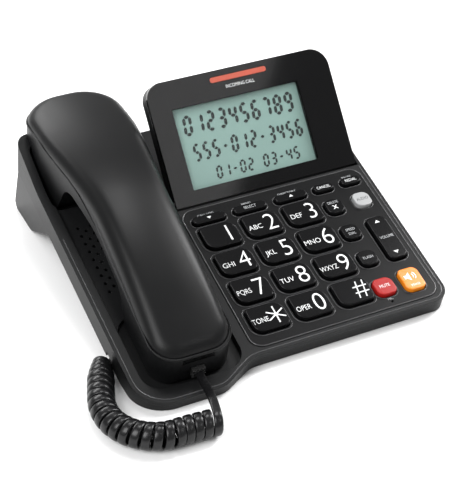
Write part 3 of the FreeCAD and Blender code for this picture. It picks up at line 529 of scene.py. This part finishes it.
def flat_shape(name, corners, material, body):
    """One flat printed shape with the given corners (x, v, w) on the deck."""
    points = [on_deck(*corner) for corner in corners]
    mesh = mesh_from(name, points, [tuple(range(len(points)))], False)
    dress(new_object(name, mesh), material, body)


def triangle(name, x, v, w, size, up, body):
    tip = size * 0.62 * (1 if up else -1)
    corners = [(x - size / 2, v - tip / 2, w), (x + size / 2, v - tip / 2, w), (x, v + tip / 2, w)]
    flat_shape(name, corners if up else corners[::-1], PRINT_WHITE, body)


DIAL = (("key_1", "1", ""), ("key_2", "2", "ABC"), ("key_3", "3", "DEF"),
        ("key_4", "4", "GHI"), ("key_5", "5", "JKL"), ("key_6", "6", "MNO"),
        ("key_7", "7", "PQRS"), ("key_8", "8", "TUV"), ("key_9", "9", "WXYZ"),
        ("key_star", "*", "TONE"), ("key_0", "0", "OPER"), ("key_pound", "#", ""))
DIAL_PITCH_X, DIAL_PITCH_V, DIAL_COLUMN = 27.0, 21.2, 16.85


def dial_centre(number):
    column, line = number % 3, number // 3
    return DIAL_COLUMN + (column - 1) * DIAL_PITCH_X, (1.5 - line) * DIAL_PITCH_V


def star(name, x, v, w, size, body):
    """A six-armed star made of three crossing bars."""
    half, lift = 0.42, 0.005
    points, faces = [], []
    for k in range(3):
        angle = math.radians(90 + 60 * k)
        c, s = math.cos(angle), math.sin(angle)
        faces.append(tuple(range(len(points), len(points) + 4)))
        for a, b in ((-size, -half), (size, -half), (size, half), (-size, half)):
            points.append(on_deck(x + c * a - s * b, v + s * a + c * b, w + lift * k))
    dress(new_object(name, mesh_from(name, points, faces, False)), PRINT_WHITE, body)


def make_dial_print():
    for number, (body, digit, letters) in enumerate(DIAL):
        x, v = dial_centre(number)
        if digit == "*":
            star("print_star", x + 5.0, v - 0.3, KEY_TOP + PRINT_LIFT, 5.8, body)
        else:
            deck_text(f"print_{body}", digit, x + 5.2, v - 0.2, KEY_TOP, 12.6, PRINT_WHITE, body,
                      thin=0.22, wide=0.9)
        if letters:
            wide = 0.92 if len(letters) == 3 else 0.76
            deck_text(f"letters_{body}", letters, x - 5.1, v - 1.6, KEY_TOP, 3.6, PRINT_WHITE, body,
                      thin=0.03, wide=wide)


# Words on the panel: piece, words, middle (x, v) and height.
PANEL_WORDS = (
    ("label_call_log_key", "CALL LOG", -10.9, 50.9, 1.9),
    ("label_menu_key", "MENU", 15.6, 50.9, 1.9),
    ("label_directory_key", "DIRECTORY", 42.8, 50.9, 1.9),
    ("label_pause", "PAUSE", 83.7, 50.9, 1.9),
    ("label_mic", "MIC", 63.4, -42.4, 1.7),
)
# Words on the keys: piece, words, middle (x, v), height, material, body, slot and width.
KEY_WORDS = (
    ("print_select", "SELECT", 15.6, 46.2, 2.1, PRINT_GREY, "menu_key", "key_black", 0.85),
    ("print_cancel", "CANCEL", 65.0, 46.2, 2.1, PRINT_WHITE, "cancel_key", "key_black", 0.8),
    ("print_redial", "REDIAL", 83.7, 46.2, 2.1, PRINT_WHITE, "redial_key", "key_black", 0.8),
    ("print_delete", "DELETE", 64.4, 32.9, 1.9, PRINT_GREY, "delete_key", "key_black", 0.8),
    ("mark_delete", "x", 64.4, 29.2, 4.8, PRINT_WHITE, "delete_key", "key_black", 1.0),
    ("print_speed", "SPEED", 64.4, 10.3, 1.9, PRINT_GREY, "speed_dial_key", "key_black", 0.85),
    ("print_dial", "DIAL", 64.4, 7.2, 1.9, PRINT_GREY, "speed_dial_key", "key_black", 0.85),
    ("print_flash", "FLASH", 64.4, -12.4, 2.0, PRINT_GREY, "flash_key", "key_black", 0.85),
    ("print_mute", "MUTE", 63.3, -34.6, 2.2, PRINT_WHITE, "mute_key", "key_red", 0.85),
    ("print_audio", "AUDIO", 83.2, 30.0, 2.1, PRINT_DARK, "audio_key", "key_white", 0.85),
    ("print_volume", "VOLUME", 82.7, -1.8, 2.1, PRINT_GREY, "volume_rocker", "key_black", 0.8),
    ("print_speaker", "SPEAKER", 81.2, -39.7, 1.6, PRINT_WHITE, "speaker_key", "key_orange", 0.7),
)
# Triangles on the keys: piece, middle (x, v), size, whether it points up, and body.
KEY_TRIANGLES = (
    ("mark_call_log", -10.9, 46.0, 2.8, False, "call_log_key"),
    ("mark_directory", 42.8, 46.2, 2.8, True, "directory_key"),
    ("mark_louder", 82.7, 10.6, 3.4, True, "volume_rocker"),
    ("mark_quieter", 82.7, -14.2, 3.4, False, "volume_rocker"),
)


def make_small_print():
    """Generic words and marks of the function keys."""
    for name, words, x, v, height in PANEL_WORDS:
        deck_text(name, words, x, v, PLATE_TOP, height, PRINT_GREY, "housing", wide=0.85)
    for name, words, x, v, height, material, body, slot, wide in KEY_WORDS:
        deck_text(name, words, x, v, KEY_TOP, height, material, body, wide=wide)
    for name, x, v, size, up, body in KEY_TRIANGLES:
        triangle(name, x, v, KEY_TOP + PRINT_LIFT, size, up, body)


def make_speaker_mark():
    """A loudspeaker with sound waves, printed on the speaker key."""
    x, v, level = 79.4, -33.4, KEY_TOP + PRINT_LIFT
    box = ((-2.4, -1.2), (-0.9, -1.2), (-0.9, 1.2), (-2.4, 1.2))
    horn = ((-0.7, -1.3), (1.3, -3.0), (1.3, 3.0), (-0.7, 1.3))
    for part, outline in (("box", box), ("horn", horn)):
        corners = [(x + dx, v + dv, level) for dx, dv in outline]
        flat_shape(f"mark_speaker_{part}", corners, PRINT_WHITE, "speaker_key")
    steps, half_wide = 8, 0.28
    for n, radius in enumerate((2.0, 3.4)):
        rows = []
        for i in range(steps + 1):
            angle = math.radians(-45 + 90 * i / steps)
            rows.append([on_deck(x + 1.4 + r * math.cos(angle), v + r * math.sin(angle), level)
                         for r in (radius + half_wide, radius - half_wide)])
        points, faces = [], []
        add_rows(points, faces, rows)
        name = f"mark_speaker_wave_{n + 1}"
        wave = new_object(name, mesh_from(name, points, faces, False))
        dress(wave, PRINT_WHITE, "speaker_key")


make_dial_print()
make_small_print()
make_speaker_mark()


# ---------------------------------------------------------------- ridges round the keys
def rounded_loop(left, front, right, rear, radii, steps=8):
    """Points and outward directions round a rectangle with its own radius at each corner."""
    corners = ((right, rear, 0, radii[2]), (left, rear, 90, radii[3]),
               (left, front, 180, radii[0]), (right, front, 270, radii[1]))
    loop = []
    for x, v, first, radius in corners:
        side_x = -1 if first in (0, 270) else 1
        side_v = -1 if first in (0, 90) else 1
        centre_x, centre_v = x + side_x * radius, v + side_v * radius
        loop += corner_arc(centre_x, centre_v, radius, first, first + 90, steps)
    return loop


def ridge(name, loop, level, wide, high, closed=True):
    """A low rounded ridge that follows a line on the deck, in a grey lighter than the housing as a painted
    highlight.
    """
    half, root = wide / 2, -0.05
    flank, flank_height = wide * 0.32, high * 0.75
    profile = [(-half, root), (-flank, flank_height), (0.0, high), (flank, flank_height), (half, root)]
    points, faces = [], []
    for x, v, nx, nv in loop:
        points += [on_deck(x + nx * across, v + nv * across, level + up) for across, up in profile]
    count, ring = len(loop), len(profile)
    for i in range(count if closed else count - 1):
        j = (i + 1) % count
        for k in range(ring - 1):
            faces.append((i * ring + k, i * ring + k + 1, j * ring + k + 1, j * ring + k))
    dress(new_object(name, mesh_from(name, points, faces)), RIDGE_GLOSS_AND_SHEEN, "housing")


def rounded_path(corners, steps=8):
    """Points and sideways directions along an open line of (x, v, radius) corners."""
    places = [Vector((x, v)) for x, v, _ in corners]
    line = []
    for i, (x, v, radius) in enumerate(corners):
        back = (places[i] - places[i - 1]).normalized() if i else None
        ahead = (places[i + 1] - places[i]).normalized() if i < len(corners) - 1 else back
        back = back or ahead
        turn = back.angle_signed(ahead)
        reach = radius * math.tan(abs(turn) / 2)
        side = -1 if turn > 0 else 1
        across = Vector((-back.y, back.x)) * side
        centre = places[i] - back * reach + across * radius
        for k in range(steps + 1 if radius else 1):
            spin = Matrix.Rotation(-turn * k / steps, 2)
            normal = spin @ across
            place = centre - normal * radius
            line.append((place.x, place.y, normal.x * side, normal.y * side))
    return line


def key_ridge(name, x, v, wide, deep, large, small, gap):
    loop = rounded_loop(x - wide / 2 - gap, v - deep / 2 - gap, x + wide / 2 + gap, v + deep / 2 + gap,
                        (large + gap, small + gap, large + gap, small + gap))
    ridge(name, loop, PLATE_TOP, 0.55, 0.28)


def make_ridges():
    for number, (body, _, _) in enumerate(DIAL):
        x, v = dial_centre(number)
        key_ridge(f"ridge_{body}", x, v, 21.6, 17.2, 6.0, 2.5, 1.5)
    for name, x, wide in (("call_log", -10.9, 21.0), ("menu", 15.6, 21.0), ("directory", 42.8, 21.0),
                          ("cancel", 65.0, 13.0), ("redial", 83.7, 13.0)):
        key_ridge(f"ridge_{name}", x, 46.2, wide, 5.6, 2.7, 2.7, 1.0)
    for name, v in (("delete", 30.2), ("speed_dial", 8.8), ("flash", -12.4)):
        key_ridge(f"ridge_{name}", 64.4, v, 11.0, 11.0, 4.4, 3.2, 1.1)
    key_ridge("ridge_audio", 83.2, 30.0, 10.6, 10.6, 4.4, 3.2, 1.0)
    key_ridge("ridge_mute", 63.3, -34.6, 12.6, 12.0, 4.8, 3.6, 1.1)
    key_ridge("ridge_speaker", 81.2, -34.8, 12.6, 15.6, 4.0, 3.0, 1.1)
    key_ridge("ridge_rocker", 82.7, -1.8, 12.0, 33.0, 3.5, 3.5, 1.4)
    left, front, right, rear, inset, radius = -26.2, -48.5, 94.0, 57.0, 0.5, 7.5
    edge = rounded_loop(left + inset, front + inset, right - inset, rear - inset, [radius] * 4)
    ridge("ridge_panel", edge, PLATE_TOP, 0.8, 0.3)
    rim = rounded_path([(-96.15, 60.0, 0), (-96.15, -62.9, 17.8), (-50.0, -62.9, 13.8), (-29.0, -50.6, 18.2),
                        (96.15, -50.6, 7.8), (96.15, 57.0, 0)])
    ridge("ridge_rim", rim, 0.0, 0.8, 0.35, False)


make_ridges()


# ---------------------------------------------------------------- display print
# Bars lit for each character: top, upper right, lower right, bottom, lower left, upper left, middle.
LIT_BARS = {"0": "1111110", "1": "0110000", "2": "1101101", "3": "1111001", "4": "0110011", "5": "1011011",
            "6": "1011111", "7": "1110000", "8": "1111111", "9": "1111011", "-": "0000001"}


def bar_corners(x, y, wide, high, stroke, number):
    """Corners of one bar of a segment character whose lower left corner is at x, y."""
    half, gap = stroke / 2, stroke * 0.12
    if number in (0, 3, 6):
        level = y + {0: high - half, 3: half, 6: high / 2}[number]
        return [(x + half + gap, level), (x + stroke + gap, level - half),
                (x + wide - stroke - gap, level - half), (x + wide - half - gap, level),
                (x + wide - stroke - gap, level + half), (x + stroke + gap, level + half)]
    middle = x + (wide - half if number in (1, 2) else half)
    low = y + (high / 2 if number in (1, 5) else half) + gap
    top = y + (high - half if number in (1, 5) else high / 2) - gap
    return [(middle, low), (middle + half, low + half), (middle + half, top - half), (middle, top),
            (middle - half, top - half), (middle - half, low + half)]


def segment_text(name, words, left, bottom, wide, high, pitch):
    """A line of segment characters on the screen, made as one piece."""
    stroke, lean, level = high * 0.16, 0.08, -2.95
    points, faces = [], []
    for place, character in enumerate(words):
        for number, lit in enumerate(LIT_BARS.get(character, "")):
            if lit == "1":
                corners = bar_corners(left + place * pitch, bottom, wide, high, stroke, number)
                faces.append(tuple(range(len(points), len(points) + len(corners))))
                points += [on_face(x + (y - bottom) * lean, y, level) for x, y in corners]
    dress(new_object(name, mesh_from(name, points, faces, False)), PRINT_DARK, "display")


def make_screen_mask():
    """The black frame printed round the screen, level with the display's face."""
    outer, inner, level = (7.0, 3.6, 103.0, 62.4), (13.3, 8.3, 96.9, 58.0), 0.02
    points = []
    for left, low, right, high in (outer, inner):
        points += [on_face(left, low, level), on_face(right, low, level), on_face(right, high, level),
                   on_face(left, high, level)]
    faces = [(i, (i + 1) % 4, (i + 1) % 4 + 4, i + 4) for i in range(4)]
    dress(new_object("screen_mask", mesh_from("screen_mask", points, faces, False)), MATERIALS["bezel_black"],
          "display")


def make_display_print():
    """Characters of the screen and the small print on the display's face."""
    segment_text("screen_line_1", "0123456789", 18.0, 40.5, 5.8, 12.5, 7.5)
    segment_text("screen_line_2", "555-012-3456", 20.0, 24.5, 4.8, 11.0, 6.2)
    segment_text("screen_line_3", "01-02 03-45", 31.0, 11.5, 4.0, 8.0, 5.2)
    face_text("label_incoming", "INCOMING CALL", 60.0, 64.3, 0.03, 2.1, PRINT_WHITE, wide=0.85)


make_screen_mask()
make_display_print()


# ---------------------------------------------------------------- stage
def make_floor():
    size = 12.0
    mesh = mesh_from("floor", [(-size, -size, 0), (size, -size, 0), (size, size, 0), (-size, size, 0)],
                     [(0, 1, 2, 3)], False)
    floor = new_object("floor", mesh)
    material = bpy.data.materials.new("pale_floor")
    material.use_nodes = True
    shader = material.node_tree.nodes["Principled BSDF"]
    shader.inputs["Base Color"].default_value = (0.93, 0.93, 0.93, 1)
    shader.inputs["Roughness"].default_value = 0.9
    shader.inputs["Specular IOR Level"].default_value = 0.1
    mesh.materials.append(material)


def add_light(name, place, aim, wide, deep, power):
    light = bpy.data.lights.new(name, "AREA")
    light.shape = "RECTANGLE"
    light.size = wide
    light.size_y = deep
    light.energy = power
    lamp = bpy.data.objects.new(name, light)
    bpy.context.scene.collection.objects.link(lamp)
    lamp.location = place
    lamp.rotation_euler = (Vector(aim) - Vector(place)).to_track_quat("-Z", "Y").to_euler()


def make_stage():
    make_floor()
    world = bpy.data.worlds.new("studio")
    world.use_nodes = True
    world.node_tree.nodes["Background"].inputs["Color"].default_value = (1.0, 1.0, 1.0, 1)
    world.node_tree.nodes["Background"].inputs["Strength"].default_value = 0.45
    bpy.context.scene.world = world
    bpy.context.scene.view_settings.view_transform = "Standard"
    add_light("key_light", (1.05, 0.15, 0.95), (0, 0, 0.03), 0.4, 0.9, 20.0)
    add_light("fill_light", (-1.1, -0.5, 1.2), (0, 0, 0.03), 1.0, 1.0, 22.0)
    add_light("top_light", (0.10, 0.28, 1.15), (-0.05, 0, 0.05), 0.25, 0.35, 3.5)
    add_light("rear_light", (-0.3, 1.4, 0.9), (0, 0, 0.03), 1.2, 0.4, 12.0)


CAMERA_PLACE = Vector((-0.29535, -0.6290, 0.5046))
CAMERA_AIM = Vector((-0.01035, -0.0295, 0.0311))
# Corners of the card's mirror image, on the plane of the display's face in millimetres.
CARD_CORNERS = ((116.8, 120.0), (-0.7, -60.0), (-80.0, -60.0), (-80.0, 120.0))
CARD_REACH = 2.5  # distance of the card from the mirrored camera, where the face's plane is at 1


def make_card():
    """A pale card whose mirror image ends in a slanting line across the display's glossy face."""
    normal = FACE.to_3x3() @ Vector((0, 0, 1))
    eye = CAMERA_PLACE - normal * 2 * (CAMERA_PLACE - FACE.translation).dot(normal)
    corners = [eye + (on_face(x, y, 0) - eye) * CARD_REACH for x, y in CARD_CORNERS]
    card = new_object("reflection_card", mesh_from("reflection_card", corners, [(0, 1, 2, 3)], False))
    material = bpy.data.materials.new("card_glow")
    material.use_nodes = True
    shader = material.node_tree.nodes["Principled BSDF"]
    shader.inputs["Emission Color"].default_value = (1, 1, 1, 1)
    shader.inputs["Emission Strength"].default_value = 1.4
    card.data.materials.append(material)
    card.visible_camera = False
    card.visible_diffuse = False
    card.visible_shadow = False


def make_camera():
    lens_data = bpy.data.cameras.new("camera")
    lens_data.sensor_width = 36.0
    lens_data.lens = 102.1
    camera = bpy.data.objects.new("camera", lens_data)
    bpy.context.scene.collection.objects.link(camera)
    camera.location = CAMERA_PLACE
    camera.rotation_euler = (CAMERA_AIM - CAMERA_PLACE).to_track_quat("-Z", "Y").to_euler()
    bpy.context.scene.camera = camera


make_stage()
make_card()
make_camera()
